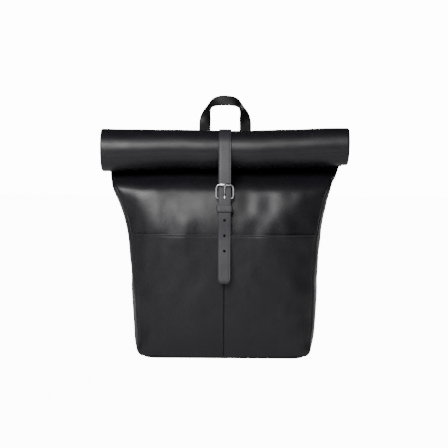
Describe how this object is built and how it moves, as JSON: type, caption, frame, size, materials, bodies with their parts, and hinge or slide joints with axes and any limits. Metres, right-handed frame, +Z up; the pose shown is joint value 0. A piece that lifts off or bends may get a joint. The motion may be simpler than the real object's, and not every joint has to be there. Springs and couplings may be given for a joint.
{
  "type": "roll-top leather backpack",
  "caption": "Black leather roll-top backpack with a buckled closing strap, slip pockets, carry handle and padded shoulder straps.",
  "frame": {"origin": "middle of the base, on the surface that the bag stands on", "axes": "+X to the right seen from the front, -Y out of the front, +Z up"},
  "size_m": [0.46, 0.2224, 0.487],
  "materials": {
    "panel_leather": "smooth semi-matt black",
    "strap_leather": "smooth black with painted edges",
    "pad_leather": "soft black over foam",
    "lining_fabric": "woven, dark grey",
    "board_plastic": "matt",
    "buckle_metal": "polished nickel",
    "slider_metal": "satin nickel"
  },
  "bodies": {
    "root": {"bottom_panel": "panel_leather", "base_board": "board_plastic", "front_panel": "panel_leather", "back_panel": "panel_leather", "side_gusset_left": "panel_leather", "side_gusset_right": "panel_leather", "lining": "lining_fabric", "laptop_sleeve": "lining_fabric", "front_pocket_left": "panel_leather", "front_pocket_right": "panel_leather", "back_pad": "pad_leather", "yoke_patch": "panel_leather", "handle_patch": "strap_leather", "shoulder_anchor_left": "strap_leather", "shoulder_anchor_right": "strap_leather", "bottom_tab_left": "strap_leather", "bottom_tab_right": "strap_leather", "closing_strap_anchor": "strap_leather", "buckle_chape": "strap_leather", "strap_keeper": "strap_leather"},
    "roll_01": {"roll_strip_01": "panel_leather"},
    "roll_02": {"roll_strip_02": "panel_leather"},
    "roll_03": {"roll_strip_03": "panel_leather"},
    "roll_04": {"roll_strip_04": "panel_leather"},
    "roll_05": {"roll_strip_05": "panel_leather"},
    "roll_06": {"roll_strip_06": "panel_leather"},
    "roll_07": {"roll_strip_07": "panel_leather"},
    "roll_08": {"roll_strip_08": "panel_leather"},
    "roll_09": {"roll_strip_09": "panel_leather"},
    "roll_10": {"roll_strip_10": "panel_leather"},
    "roll_11": {"roll_strip_11": "panel_leather", "mouth_stiffener": "board_plastic"},
    "strap_01": {"closing_strap_01": "strap_leather"},
    "strap_02": {"closing_strap_02": "strap_leather"},
    "strap_03": {"closing_strap_03": "strap_leather"},
    "strap_04": {"closing_strap_04": "strap_leather"},
    "strap_05": {"closing_strap_05": "strap_leather"},
    "strap_06": {"closing_strap_06": "strap_leather"},
    "strap_07": {"closing_strap_07": "strap_leather"},
    "strap_08": {"closing_strap_08": "strap_leather"},
    "buckle_frame": {"buckle_frame": "buckle_metal"},
    "buckle_roller": {"buckle_roller": "buckle_metal"},
    "buckle_prong": {"buckle_prong": "buckle_metal"},
    "carry_handle": {"carry_handle": "strap_leather"},
    "shoulder_strap_left": {"shoulder_pad_left": "pad_leather", "lower_strap_left": "strap_leather"},
    "strap_slider_left": {"strap_slider_left": "slider_metal"},
    "shoulder_strap_right": {"shoulder_pad_right": "pad_leather", "lower_strap_right": "strap_leather"},
    "strap_slider_right": {"strap_slider_right": "slider_metal"}
  },
  "joints": [
    {"name": "roll_unroll", "type": "hinge", "parent": "root", "child": "roll_01", "pos_m": [0, 0.041, 0.363], "axis": [-1, 0, 0], "range_deg": [0, 15.55]},
    {"name": "roll_fold_02", "type": "hinge", "parent": "roll_01", "child": "roll_02", "pos_m": [0, 0.03342, 0.39022], "axis": [-1, 0, 0], "range_deg": [0, 21.81]},
    {"name": "roll_fold_03", "type": "hinge", "parent": "roll_02", "child": "roll_03", "pos_m": [0, 0.01889, 0.4094], "axis": [-1, 0, 0], "range_deg": [0, 40.26]},
    {"name": "roll_fold_04", "type": "hinge", "parent": "roll_03", "child": "roll_04", "pos_m": [0, -0.00394, 0.41458], "axis": [-1, 0, 0], "range_deg": [0, 40.26]},
    {"name": "roll_fold_05", "type": "hinge", "parent": "roll_04", "child": "roll_05", "pos_m": [0, -0.02415, 0.40415], "axis": [-1, 0, 0], "range_deg": [0, 40.27]},
    {"name": "roll_fold_06", "type": "hinge", "parent": "roll_05", "child": "roll_06", "pos_m": [0, -0.03265, 0.38377], "axis": [-1, 0, 0], "range_deg": [0, 40.27]},
    {"name": "roll_fold_07", "type": "hinge", "parent": "roll_06", "child": "roll_07", "pos_m": [0, -0.02623, 0.36333], "axis": [-1, 0, 0], "range_deg": [0, 40.28]},
    {"name": "roll_fold_08", "type": "hinge", "parent": "roll_07", "child": "roll_08", "pos_m": [0, -0.00872, 0.35218], "axis": [-1, 0, 0], "range_deg": [0, 40.28]},
    {"name": "roll_fold_09", "type": "hinge", "parent": "roll_08", "child": "roll_09", "pos_m": [0, 0.0112, 0.35483], "axis": [-1, 0, 0], "range_deg": [0, 40.29]},
    {"name": "roll_fold_10", "type": "hinge", "parent": "roll_09", "child": "roll_10", "pos_m": [0, 0.02429, 0.36921], "axis": [-1, 0, 0], "range_deg": [0, 40.29]},
    {"name": "roll_fold_11", "type": "hinge", "parent": "roll_10", "child": "roll_11", "pos_m": [0, 0.02502, 0.38797], "axis": [-1, 0, 0], "range_deg": [0, 40.3]},
    {"name": "strap_bend_01", "type": "hinge", "parent": "root", "child": "strap_01", "pos_m": [0, 0.0545, 0.35], "axis": [-1, 0, 0], "range_deg": [0, 31.7], "deforming": ["closing_strap_01"]},
    {"name": "strap_bend_02", "type": "hinge", "parent": "strap_01", "child": "strap_02", "pos_m": [0, 0.0378, 0.39239], "axis": [-1, 0, 0], "range_deg": [0, 60.86], "deforming": ["closing_strap_02"]},
    {"name": "strap_bend_03", "type": "hinge", "parent": "strap_02", "child": "strap_03", "pos_m": [0, 0.02165, 0.41369], "axis": [-1, 0, 0], "range_deg": [0, 85.26], "deforming": ["closing_strap_03"]},
    {"name": "strap_bend_04", "type": "hinge", "parent": "strap_03", "child": "strap_04", "pos_m": [0, -0.00458, 0.41964], "axis": [-1, 0, 0], "range_deg": [0, 80.26], "deforming": ["closing_strap_04"]},
    {"name": "strap_bend_05", "type": "hinge", "parent": "strap_04", "child": "strap_05", "pos_m": [0, -0.0279, 0.40761], "axis": [-1, 0, 0], "range_deg": [0, 72.27], "deforming": ["closing_strap_05"]},
    {"name": "strap_bend_06", "type": "hinge", "parent": "strap_05", "child": "strap_06", "pos_m": [0, -0.03708, 0.38562], "axis": [-1, 0, 0], "range_deg": [0, 11.7], "deforming": ["closing_strap_06"]},
    {"name": "strap_bend_07", "type": "hinge", "parent": "strap_06", "child": "strap_07", "pos_m": [0, -0.05401, 0.33073], "axis": [-1, 0, 0], "range_deg": [0, 7.34], "deforming": ["closing_strap_07"]},
    {"name": "strap_bend_08", "type": "hinge", "parent": "strap_07", "child": "strap_08", "pos_m": [0, -0.06711, 0.26911], "axis": [-1, 0, 0], "range_deg": [0, 2.35], "deforming": ["closing_strap_08"]},
    {"name": "buckle_flip", "type": "hinge", "parent": "root", "child": "buckle_frame", "pos_m": [0, -0.0567, 0.2945], "axis": [1, 0, 0], "range_deg": [0, 40]},
    {"name": "roller_spin", "type": "hinge", "parent": "buckle_frame", "child": "buckle_roller", "pos_m": [0, -0.06071, 0.31989], "axis": [1, 0, 0], "continuous": true},
    {"name": "prong_flip", "type": "hinge", "parent": "buckle_frame", "child": "buckle_prong", "pos_m": [0, -0.0567, 0.2945], "axis": [1, 0, 0], "range_deg": [0, 50]},
    {"name": "handle_swing", "type": "hinge", "parent": "root", "child": "carry_handle", "pos_m": [0, 0.058, 0.3405], "axis": [-1, 0, 0], "range_deg": [0, 90]},
    {"name": "shoulder_swing_left", "type": "hinge", "parent": "root", "child": "shoulder_strap_left", "pos_m": [-0.045, 0.084, 0.284], "axis": [0.297, -0.0075, 0.9549], "range_deg": [-30, 30]},
    {"name": "slider_travel_left", "type": "slide", "parent": "shoulder_strap_left", "child": "strap_slider_left", "axis": [0.2445, 0.301, 0.9217], "range_m": [-0.02, 0.025]},
    {"name": "shoulder_swing_right", "type": "hinge", "parent": "root", "child": "shoulder_strap_right", "pos_m": [0.045, 0.084, 0.284], "axis": [0.297, 0.0075, -0.9549], "range_deg": [-30, 30]},
    {"name": "slider_travel_right", "type": "slide", "parent": "shoulder_strap_right", "child": "strap_slider_right", "axis": [-0.2445, 0.301, 0.9217], "range_m": [-0.02, 0.025]}
  ],
  "couplings": [
    {"joint": "roll_fold_02", "follows": "roll_unroll", "ratio": 1.3895},
    {"joint": "roll_fold_03", "follows": "roll_unroll", "ratio": 2.5758},
    {"joint": "roll_fold_04", "follows": "roll_unroll", "ratio": 2.576},
    {"joint": "roll_fold_05", "follows": "roll_unroll", "ratio": 2.5763},
    {"joint": "roll_fold_06", "follows": "roll_unroll", "ratio": 2.5766},
    {"joint": "roll_fold_07", "follows": "roll_unroll", "ratio": 2.5769},
    {"joint": "roll_fold_08", "follows": "roll_unroll", "ratio": 2.5772},
    {"joint": "roll_fold_09", "follows": "roll_unroll", "ratio": 2.5775},
    {"joint": "roll_fold_10", "follows": "roll_unroll", "ratio": 2.5779},
    {"joint": "roll_fold_11", "follows": "roll_unroll", "ratio": 2.5784},
    {"joint": "strap_bend_01", "follows": "roll_unroll", "ratio": 2.0253},
    {"joint": "strap_bend_02", "follows": "roll_unroll", "ratio": 3.9005},
    {"joint": "strap_bend_03", "follows": "roll_unroll", "ratio": 5.4692},
    {"joint": "strap_bend_04", "follows": "roll_unroll", "ratio": 5.1479},
    {"joint": "strap_bend_05", "follows": "roll_unroll", "ratio": 4.6338},
    {"joint": "strap_bend_06", "follows": "roll_unroll", "ratio": 0.73948},
    {"joint": "strap_bend_07", "follows": "roll_unroll", "ratio": 0.45917},
    {"joint": "strap_bend_08", "follows": "roll_unroll", "ratio": 0.13831}
  ]
}
